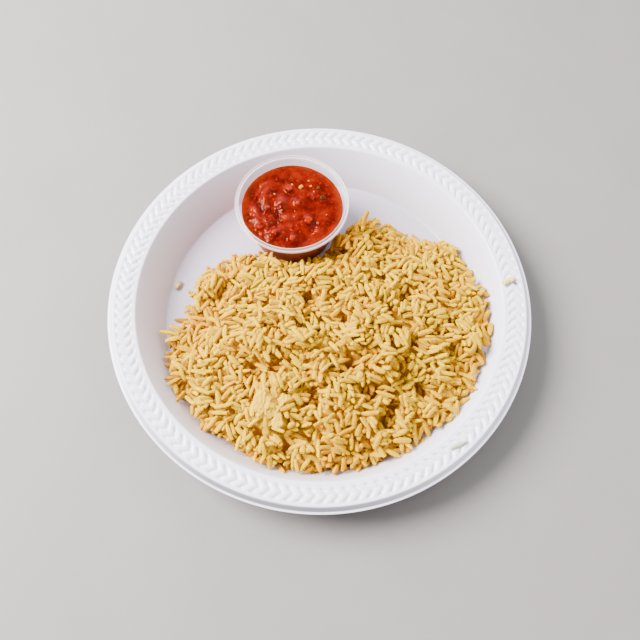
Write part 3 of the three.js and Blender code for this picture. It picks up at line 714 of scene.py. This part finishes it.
# Lobes of the torn chicken piece: x, y, z, half sizes and turn
LOBES = [
    (-25.6, -60.4, 20.6, 6.2, 7.2, 6.0, -12), (-27.6, -52.6, 19.8, 3.2, 5.0, 5.4, 14),
    (-16.8, -58.2, 19.8, 4.0, 5.4, 5.2, 12), (-30.4, -66.4, 19.4, 4.6, 3.6, 5.2, 34),
    (-18.6, -68.6, 20.2, 4.2, 5.8, 5.6, 26), (-25.2, -69.0, 19.6, 5.0, 3.8, 4.8, -14),
    (-21.6, -54.8, 19.6, 4.2, 3.8, 5.4, -26), (-22.4, -64.0, 21.6, 5.2, 3.4, 4.8, 38),
]


def chicken_top(x, y):
    """Height of the chicken's upper side, where it lies."""
    top = np.full(np.shape(x), float(NONE_Z))
    for cx, cy, cz, a, b, c, turn in LOBES:
        u, v = seen_from(x, y, cx, cy, turn)
        d = np.abs(u / a) ** 2.6 + np.abs(v / b) ** 2.6
        top = np.where(d < 1, np.maximum(top, cz + c * np.maximum(1 - d, 0) ** (1 / 2.6)), top)
    return top


# Rice: each grain is let down onto the pile, alone or lying with its neighbours in a clump

class Pile:
    """Height map of what lies on the plate, and of the heap that the grains are to reach."""

    def __init__(self, clumps):
        self.xs = np.arange(-101, 101, GRID_STEP)
        self.ys = np.arange(-106, 74, GRID_STEP)
        x, y = np.meshgrid(self.xs, self.ys)
        angle = np.arctan2(y - HEAP_Y, x - HEAP_X)
        wander = (1.2 * np.sin(23 * angle + 2.1 * np.sin(7 * angle))
                  + 0.5 * np.sin(41 * angle + 1.7 * np.sin(11 * angle)))
        self.reach = heap_radius(angle) - np.hypot(x - HEAP_X, y - HEAP_Y) + wander
        inner = smoothstep(self.reach / EDGE_FADE)
        relief = clump_relief(x, y, clumps)
        base = plate_z(np.hypot(x, y))
        top = np.clip(heap_z(x, y) + inner * relief, base + 1.6, TOP_MOST)
        self.target = np.where(self.reach > 0, top, NONE_Z)
        core = np.where(self.reach > 5, heap_z(x, y) + inner * np.minimum(relief, 0) - LAYER, NONE_Z)
        self.height = np.maximum(base, core)
        blocked = np.hypot(x - CUP_X, y - CUP_Y) < CUP_CLEAR + 0.3
        self.height[blocked] = SHUT_Z
        piece_top = chicken_top(x, y)
        self.height = np.maximum(self.height, piece_top)
        lapped = np.where(piece_top < 23.0, np.maximum(self.target, piece_top + 1.4), NONE_Z)
        self.target = np.where(piece_top > 0, lapped, self.target)
        self.target[blocked] = NONE_Z

    def cell(self, x, y):
        """Row and column of the cell at a place."""
        near = [np.rint((at - axis[0]) / GRID_STEP).astype(int) for at, axis in ((y, self.ys), (x, self.xs))]
        return np.clip(near[0], 0, len(self.ys) - 1), np.clip(near[1], 0, len(self.xs) - 1)

    def lay(self, top, window):
        """Add a grain's top surface to the height map."""
        area = self.height[window]
        np.maximum(area, top, out=area)

    def window(self, x, y, half):
        """Rows and columns of the cells within a half width of a place."""
        sides = []
        for at, axis in ((y, self.ys), (x, self.xs)):
            first = max(int((at - half - axis[0]) / GRID_STEP), 0)
            sides.append(slice(first, min(int((at + half - axis[0]) / GRID_STEP) + 2, len(axis))))
        return tuple(sides)

    def settle(self, x, y, yaw, length, width, pitches):
        """Rest of a grain at a place: its centre height, pitch, top surface and window."""
        rows, cols = self.window(x, y, length / 2 + 0.3)
        gx = self.xs[cols][None, :] - x
        gy = self.ys[rows][:, None] - y
        u = gx * math.cos(yaw) + gy * math.sin(yaw)
        v = -gx * math.sin(yaw) + gy * math.cos(yaw)
        slope = np.tan(pitches)[:, None, None]
        cosine = np.cos(pitches)[:, None, None]
        s = np.abs(2 * u[None] / (length * cosine))
        body = 1 - s ** 3.5
        wide = 1 - (2 * v[None] / width) ** 2 / np.maximum(body, 1e-3)
        inside = (body > 0) & (wide > 0)
        half = 0.43 * width * np.sqrt(np.maximum(body * wide, 0)) / cosine
        ground = self.height[rows, cols][None]
        need = np.where(inside, ground - (u[None] * slope - half), -1e3)
        centre = need.reshape(len(pitches), -1).max(1)
        best = int(np.argmin(centre))
        top = np.where(inside[best], u * slope[best] + half[best], -1e3)
        return centre[best], pitches[best], top, (rows, cols)


def clump_seeds(rng):
    """Clumps of grains that cling together: place, direction, tilt, sideways tilt, lift and tone."""
    seeds = []
    for gx in np.arange(-96, 104, CLUMP_STEP):
        for gy in np.arange(-104, 76, CLUMP_STEP):
            seeds.append((gx + rng.uniform(-4, 4), gy + rng.uniform(-4, 4), rng.uniform(0, math.pi),
                          rng.normal(0, 0.42), rng.normal(0, 0.36), max(rng.normal(0, 3.3), -3.8),
                          rng.normal(0, 0.34)))
    return np.array(seeds)


def raft(rng, count, yaw, lean):
    """Grains side by side: offset along, offset across, own yaw, own pitch, rise, length and width."""
    grains, across = [], 0.0
    fan = rng.normal(0, 0.05)
    for k in range(count):
        length = rng.uniform(*GRAIN_LENGTH) if rng.random() > SHORT_SHARE else rng.uniform(*SHORT_LENGTH)
        width = rng.uniform(*GRAIN_WIDTH)
        across += RAFT_SPACING * width if k else 0.0
        grains.append([rng.normal(0, 1.5), across, yaw + fan * (k - (count - 1) / 2) + rng.normal(0, 0.06),
                       rng.normal(0, 0.05), rng.normal(0, 0.12), length, width])
        across += RAFT_SPACING * width
    middle = 0.5 * (grains[0][1] + grains[-1][1])
    for grain in grains:
        grain[1] -= middle
        grain[4] += grain[1] * math.tan(lean)
    return grains


def lay_raft(pile, rng, x, y, count, yaw, pitches, lean, sink, tone, grains):
    """Let one raft down onto the pile; grains that would stand above the heap are left off."""
    best = None
    for pitch in pitches:
        rested = []
        for along, across, own_yaw, own_pitch, rise, length, width in raft(rng, count, yaw, lean):
            gx = x + along * math.cos(yaw) - across * math.sin(yaw)
            gy = y + along * math.sin(yaw) + across * math.cos(yaw)
            slope = pitch + own_pitch
            rise += along * math.tan(pitch)
            z, tilt, top, window = pile.settle(gx, gy, own_yaw, length, width, np.array([slope]))
            rested.append((z - rise, rise, gx, gy, own_yaw, tilt, top, window, length, width))
        level = max(item[0] for item in rested)
        if best is None or level < best[0]:
            best = (level, rested)
    level, rested = best
    for own, rise, gx, gy, own_yaw, tilt, top, window, length, width in rested:
        z = min(level, own + RAFT_SLACK) + rise - sink
        cell = pile.cell(gx, gy)
        target = pile.target[cell]
        tip = z + 0.5 * length * abs(math.sin(tilt))
        if pile.reach[cell] < FROM_EDGE or z > target + OVER_TOP or tip > target + OVER_TIP:
            continue
        pile.lay(z + top, window)
        grains.append((gx, gy, z, own_yaw, tilt, lean, length, width, tone))


def mean_round(height, cells):
    """Mean height of the pile round each cell, over a square of the given half width."""
    side = 2 * cells + 1
    sums = np.pad(np.pad(height, cells, mode="edge").cumsum(0).cumsum(1), ((1, 0), (1, 0)))
    return (sums[side:, side:] - sums[:-side, side:] - sums[side:, :-side] + sums[:-side, :-side]) / side ** 2


def lay_grains():
    """Grains of the heap, and for each a painted shade from how far it lies below those round it."""
    rng = np.random.default_rng(HEAP_SEED)
    seeds = clump_seeds(rng)
    pile = Pile(seeds)
    rows, cols = np.nonzero(pile.reach > 2.2)
    gentle = tuple(np.radians(np.arange(-40, 41, 10.0)))
    grains = []
    for least, rafts in SWEEPS:
        for index in rng.permutation(len(rows))[::SWEEP_STRIDE]:
            j, i = rows[index], cols[index]
            if pile.target[j, i] - pile.height[j, i] < least:
                continue
            x = pile.xs[i] + rng.uniform(-0.5, 0.5)
            y = pile.ys[j] + rng.uniform(-0.5, 0.5)
            nearest = seeds[np.argmin((seeds[:, 0] - x) ** 2 + (seeds[:, 1] - y) ** 2)]
            if rng.random() < rafts:
                yaw = nearest[2] + rng.normal(0, 0.2)
                pitch = float(np.clip(nearest[3] + rng.normal(0, 0.12), -0.9, 0.9))
                lean = float(np.clip(nearest[4] + rng.normal(0, 0.12), -0.6, 0.6))
                count = int(rng.integers(2, 7))
                lay_raft(pile, rng, x, y, count, yaw, (pitch,), lean, RAFT_SINK, nearest[6], grains)
            else:
                yaw = rng.uniform(0, 2 * math.pi)
                steep = rng.random() < 0.35
                pitches = (float(np.clip(rng.normal(0, 0.55), -1.0, 1.0)),) if steep else gentle
                lean = rng.normal(0, 0.3)
                lay_raft(pile, rng, x, y, 1, yaw, pitches, lean, GRAIN_SINK, nearest[6], grains)
    for x, y, turn, tilt, length in EDGE_GRAINS:
        yaw = math.radians(turn)
        z, pitch, top, window = pile.settle(x, y, yaw, length, EDGE_WIDTH, np.radians([tilt]))
        pile.lay(z + top, window)
        grains.append((x, y, z, yaw, pitch, 0.0, length, EDGE_WIDTH, EDGE_TONE))
    grains = np.array(grains)
    cells = pile.cell(grains[:, 0], grains[:, 1])
    near = mean_round(pile.height, GAP_CELLS)[cells] - grains[:, 2]
    wide = mean_round(np.maximum(pile.height, 8.0), HOLLOW_CELLS)[cells] - grains[:, 2]
    return grains, GAP_WARMTH * np.minimum(near, 3.0) + HOLLOW_WARMTH * np.clip(wide, -2.5, 4.0)


def grain_shapes(rng, count):
    """Unit grains along X: flat-sided, one end blunt, the other drawn out, and slightly bent."""
    shapes = []
    stations = np.array([-0.98, -0.78, -0.28, 0.28, 0.78, 0.98])
    section = np.array(SECTION)
    for _ in range(count):
        blunt, drawn = rng.uniform(0.5, 0.85), rng.uniform(0.22, 0.6)
        body = np.array([blunt, 0.5 * blunt + rng.uniform(0.44, 0.56), rng.uniform(0.95, 1.05),
                         rng.uniform(0.95, 1.05), 0.4 * drawn + rng.uniform(0.5, 0.62), drawn])
        bend = rng.uniform(0.0, 0.16)
        side = rng.uniform(-0.14, 0.14)
        ridge = 1 + 0.07 * rng.standard_normal(SIDES)
        ridge[int(rng.integers(SIDES))] -= 0.16
        ring = ridge[None] + 0.025 * rng.standard_normal((RINGS, SIDES))
        cut = np.array([rng.uniform(-0.06, 0.06), 0, 0, 0, 0, rng.uniform(-0.05, 0.05)])
        turn = rng.uniform(0, 2 * np.pi)
        points = np.empty((RINGS, SIDES, 3))
        facing = section[:, 0] * math.cos(turn) + section[:, 1] * math.sin(turn)
        points[..., 0] = 0.5 * stations[:, None] + cut[:, None] * body[:, None] * facing
        points[..., 1] = 0.5 * body[:, None] * section[:, 0] * ring + side * (stations[:, None] ** 2)
        points[..., 2] = 0.5 * body[:, None] * section[:, 1] * ring - bend * (stations[:, None] ** 2)
        ends = np.array([[-0.5, side, -bend], [0.51, side, -bend]])
        shapes.append(np.concatenate([points.reshape(-1, 3), ends]))
    faces = []
    for i in range(RINGS - 1):
        for j in range(SIDES):
            k = (j + 1) % SIDES
            faces.append((i * SIDES + j, i * SIDES + k, (i + 1) * SIDES + k, (i + 1) * SIDES + j))
    last = RINGS * SIDES + 1
    for j in range(SIDES):
        k = (j + 1) % SIDES
        faces += [(last - 1, k, j), (last, (RINGS - 1) * SIDES + j, (RINGS - 1) * SIDES + k)]
    return shapes, faces


def grain_points(shape, x, y, z, yaw, pitch, roll, length, width, flat):
    """A unit grain brought to its size, direction and place."""
    local = shape * np.array([length, width, width * flat])
    rotation = Matrix.Rotation(yaw, 3, "Z") @ Matrix.Rotation(-pitch, 3, "Y") @ Matrix.Rotation(roll, 3, "X")
    return local @ np.array(rotation).T + np.array([x, y, z])


def build_rice(kinds, core):
    """Grains of the heap by kind: the deeper a grain lies, the warmer and darker its kind, as painted shade.
    """
    rng = np.random.default_rng(5)
    shapes, faces = grain_shapes(rng, 40)
    lots = {name: [] for name in kinds}
    names = list(kinds)
    for (x, y, z, yaw, pitch, lean, length, width, tone), sunk in zip(*lay_grains()):
        warm = 0.6 * noise.noise((x * 0.045, y * 0.045, 4.0)) + 0.6 * tone + 0.15 * rng.standard_normal()
        # Painted shade: grains lying low among their neighbours, and in the hollows, take the warmer, darker
        # kinds
        warm += sunk
        warm += 0.22 * max(-float(heap_relief(np.array(x), np.array(y))) - 0.8, 0)
        kind = names[int(np.searchsorted(WARM_STEPS, warm, side="right"))]
        # Painted light: grains in the cup's shadow take the redder, lighter kind, for light through the cup
        # and sauce
        if ((x - BY_CUP_X) / BY_CUP_LONG) ** 2 + ((y - BY_CUP_Y) / BY_CUP_WIDE) ** 2 < 1:
            kind = names[4]
        shape = shapes[int(rng.integers(len(shapes)))]
        if rng.random() < 0.5:
            yaw, pitch = yaw + math.pi, -pitch
        roll, flat = lean + rng.normal(0, 0.22), rng.uniform(0.66, 0.84)
        lots[kind].append(grain_points(shape, x, y, z, yaw, pitch, roll, length, width, flat))
    for name, material in kinds.items():
        all_faces = []
        for start in range(0, len(lots[name]) * len(shapes[0]), len(shapes[0])):
            all_faces.extend(tuple(start + i for i in f) for f in faces)
        piece(name, np.concatenate(lots[name]), all_faces, material, "rice", "rice", smooth=False)
    build_core(core)


def build_core(material):
    """Solid under the grains, lower than the heap by the depth of their layer."""
    n, rings = 180, 40
    angles = np.arange(n) * 2 * np.pi / n
    reach = heap_radius(angles) - CORE_INSET
    clumps = clump_seeds(np.random.default_rng(HEAP_SEED))
    top = []
    for s in np.linspace(1, 1 / rings, rings):
        x = HEAP_X + s * reach * np.cos(angles)
        y = HEAP_Y + s * reach * np.sin(angles)
        ground = plate_z(np.hypot(x, y)) + 0.4
        inner = smoothstep((reach + CORE_INSET) * (1 - s) / EDGE_FADE)
        sunk = heap_z(x, y) + inner * np.minimum(clump_relief(x, y, clumps), 0)
        z = np.maximum(ground + 0.2, sunk - LAYER + CORE_LIFT)
        beside_x = np.abs(x - CHICKEN["x"]) - CHICKEN["half_x"]
        beside_y = np.abs(y - CHICKEN["y"]) - CHICKEN["half_y"]
        z = np.where(np.maximum(beside_x, beside_y) < 3, np.minimum(z, CHICKEN["z"] - 0.6), z)
        top.append(np.stack([x, y, z], -1))
    skirt = []
    for share, rise in ((1.0, 0.4), (0.8, 0.35)):
        x, y = HEAP_X + share * reach * np.cos(angles), HEAP_Y + share * reach * np.sin(angles)
        skirt.append(np.stack([x, y, plate_z(np.hypot(x, y)) + rise], -1))
    grid = np.array(top[::-1] + skirt)
    peak_z = float(heap_z(HEAP_X, HEAP_Y)) - LAYER + CORE_LIFT
    ends = [[HEAP_X, HEAP_Y, peak_z], [HEAP_X, HEAP_Y, FLOOR_Z + 0.35]]
    points = np.concatenate([grid.reshape(-1, 3), ends])
    piece("rice_core", points, closed_faces(len(grid), n), material, "rice", "rice")


# Chicken

def build_chicken(material):
    """Lobes cut flat where the meat tore, and roughened along the fibre."""
    ball, faces = ico(4)
    rng = np.random.default_rng(8)
    parts = []
    for cx, cy, cz, a, b, c, turn in LOBES:
        unit = ball / ((np.abs(ball) ** 2.8).sum(1) ** (1 / 2.8))[:, None]
        for _ in range(11):
            facing = rng.standard_normal(3)
            facing /= np.linalg.norm(facing)
            over = np.maximum(unit @ facing - rng.uniform(0.58, 0.88), 0)
            unit = unit - 0.95 * over[:, None] * facing
        shaped = unit * np.array([a, b, c]) * 1.14
        shift = []
        for p in shaped.tolist():
            big = noise.noise((p[0] * 0.3 + cx, p[1] * 0.25, p[2] * 0.3 + 9))
            fibre = noise.noise((p[0] * 1.1 + cy, p[1] * 0.3, p[2] * 0.8 + 4))
            fine = noise.noise((p[0] * 2.2 + cx, p[1] * 1.1, p[2] * 2.0 + 2))
            shift.append(1 + 0.22 * big + 0.12 * fibre + 0.06 * fine)
        parts.append(((shaped * np.array(shift)[:, None], faces), (cx, cy, cz), (0, 0, turn)))
    points, all_faces = joined(parts)
    points[:, 2] = np.maximum(points[:, 2], CHICKEN["z"])
    piece("chicken_torn", points, all_faces, material, "chicken_piece", "chicken", smooth=False)


# Grains and crumbs that lie away from the heap

def build_strays(pale, green, yellow, dark):
    rng = np.random.default_rng(31)
    shapes, faces = grain_shapes(rng, 3)

    def single(name, shape, place, yaw, length, width, flat, material, node, slot):
        points = grain_points(shape, *place, math.radians(yaw), 0.0, 0.3, length, width, flat)
        piece(name, points, faces, material, node, slot)

    single("grain_on_floor", shapes[0], (-82.0, 14.2, 3.6), 62, 5.6, 3.0, 0.9,
           pale, "stray_grain_floor", "rice")
    single("grain_on_rim", shapes[1], (70.4, -79.4, 25.1), 24, 9.0, 2.5, 0.45,
           green, "stray_grain_rim", "rice")
    crumbs = [
        (lump(rng, np.array([1.9, 1.5, 1.1]), 0.7, 0.35, 4), (101.2, 11.5, 25.0), (4, 8, 30)),
        (lump(rng, np.array([2.0, 1.3, 1.0]), 0.7, 0.35, 4), (103.9, 12.8, 25.0), (0, -6, 10)),
    ]
    piece("crumb_on_rim", *joined(crumbs), yellow, "stray_crumb_rim", "crumb")
    speck = [(lump(rng, np.array([0.7, 0.5, 0.4]), 0.8, 0.3, 3), (106.3, 10.9, 24.6), (0, 0, 40))]
    piece("speck_on_rim", *joined(speck), dark, "stray_crumb_rim", "crumb")


# Floor, lights and camera

LIGHT_TARGET, LIGHT_COLOUR = (0, 0, 0.02), (1.0, 0.985, 1.03)
SKY_STRENGTH = 1.3


def build_stage(material):
    side = 3000
    points = [(-side, -side, 0), (side, -side, 0), (side, side, 0), (-side, side, 0)]
    floor = make_object("floor", points, [(0, 1, 2, 3)], material)
    floor.location.z = -0.0002


def area_light(name, place, size, power):
    data = bpy.data.lights.new(name, "AREA")
    data.shape = "DISK"
    data.size = size
    data.energy = power
    data.color = LIGHT_COLOUR
    light = add(name, data)
    light.location = place
    light.rotation_euler = (Vector(LIGHT_TARGET) - Vector(place)).to_track_quat("-Z", "Y").to_euler()


def build_lights():
    """Sky brighter at the back, a broad key light from the left and a weak fill."""
    world = bpy.data.worlds.new("studio")
    world.use_nodes = True
    tree = world.node_tree
    background = tree.nodes["Background"]
    background.inputs["Strength"].default_value = SKY_STRENGTH
    kinds = ("TexCoord", "SeparateXYZ", "MapRange", "ValToRGB")
    where, split, spread, ramp = (tree.nodes.new("ShaderNode" + kind) for kind in kinds)
    spread.inputs["From Min"].default_value = -1.0
    ramp.color_ramp.elements[0].color = (0.26, 0.26, 0.28, 1.0)
    ramp.color_ramp.elements[1].color = (1.5, 1.5, 1.7, 1.0)
    tree.links.new(where.outputs["Generated"], split.inputs["Vector"])
    tree.links.new(split.outputs["Y"], spread.inputs["Value"])
    tree.links.new(spread.outputs["Result"], ramp.inputs["Fac"])
    tree.links.new(ramp.outputs["Color"], background.inputs["Color"])
    bpy.context.scene.world = world
    area_light("key", (-0.87, 0.18, 0.88), 0.8, 88.0)
    area_light("fill", (1.1, 0.5, 1.1), 1.0, 7.0)


def build_camera():
    """Camera high in front of the plate, slightly rolled."""
    forward = Vector((0, math.cos(CAM_ELEVATION), -math.sin(CAM_ELEVATION)))
    right = Vector((1, 0, 0))
    up = right.cross(forward)
    level = math.cos(CAM_ROLL) * right + math.sin(CAM_ROLL) * up
    upright = -math.sin(CAM_ROLL) * right + math.cos(CAM_ROLL) * up
    place = (Vector(CAM_TARGET) - CAM_DISTANCE * forward) * MM
    data = bpy.data.cameras.new("camera")
    data.sensor_width = 36.0
    data.lens = 36.0 * CAM_FOCAL_PX / IMAGE_PX
    data.clip_start = 0.01
    camera = add("camera", data)
    turn = Matrix((level, upright, -forward)).transposed().to_4x4()
    camera.matrix_world = Matrix.Translation(place) @ turn
    bpy.context.scene.camera = camera


build_camera()
build_lights()
build_stage(floor_material())
build_plate(plate_material())
build_cup(cup_material())
build_sauce(
    sauce_material("sauce_wet", (0.042, 0.0006, 0.0001), (0.13, 0.003, 0.0001), (0.2, 0.0095, 0.0001),
                   0.12),
    sauce_material("sauce_dice", (0.16, 0.005, 0.0002), (0.26, 0.013, 0.0003), (0.36, 0.03, 0.0006), 0.14),
    plain_material("sauce_herb", (0.03, 0.012, 0.002), (0.06, 0.028, 0.004), 0.35, shine=0.15),
    plain_material("sauce_onion", (0.36, 0.11, 0.008), (0.5, 0.2, 0.02), 0.2, shine=0.2),
)
# Colours of the rice by kind, from its palest grain to its deepest; the darker kinds serve as painted shade
RICE_TONES = {
    "pale": ((0.66, 0.444, 0.001), (0.63, 0.419, 0.001), (0.6, 0.393, 0.001)),
    "cream": ((0.63, 0.406, 0.001), (0.6, 0.381, 0.001), (0.57, 0.355, 0.001)),
    "golden": ((0.61, 0.368, 0.001), (0.57, 0.336, 0.001), (0.53, 0.302, 0.001)),
    "amber": ((0.58, 0.315, 0.001), (0.52, 0.27, 0.001), (0.45, 0.22, 0.001)),
    # Painted light for the grains in the cup's shadow
    "by_cup": ((0.64, 0.362, 0.004), (0.59, 0.322, 0.004), (0.52, 0.272, 0.003)),
}
build_rice(
    {"rice_grains_" + kind: rice_material("rice_" + kind, *tones) for kind, tones in RICE_TONES.items()},
    core_material(),
)
build_chicken(chicken_material())
build_strays(
    plain_material("grain_dull", (0.46, 0.33, 0.1), (0.6, 0.47, 0.18), 0.4),
    plain_material("grain_clear", (0.56, 0.57, 0.36), (0.66, 0.67, 0.48), 0.25),
    plain_material("crumb_yellow", (0.8, 0.62, 0.12), (0.86, 0.74, 0.26), 0.5),
    plain_material("speck_dark", (0.06, 0.04, 0.05), (0.12, 0.09, 0.1), 0.5),
)
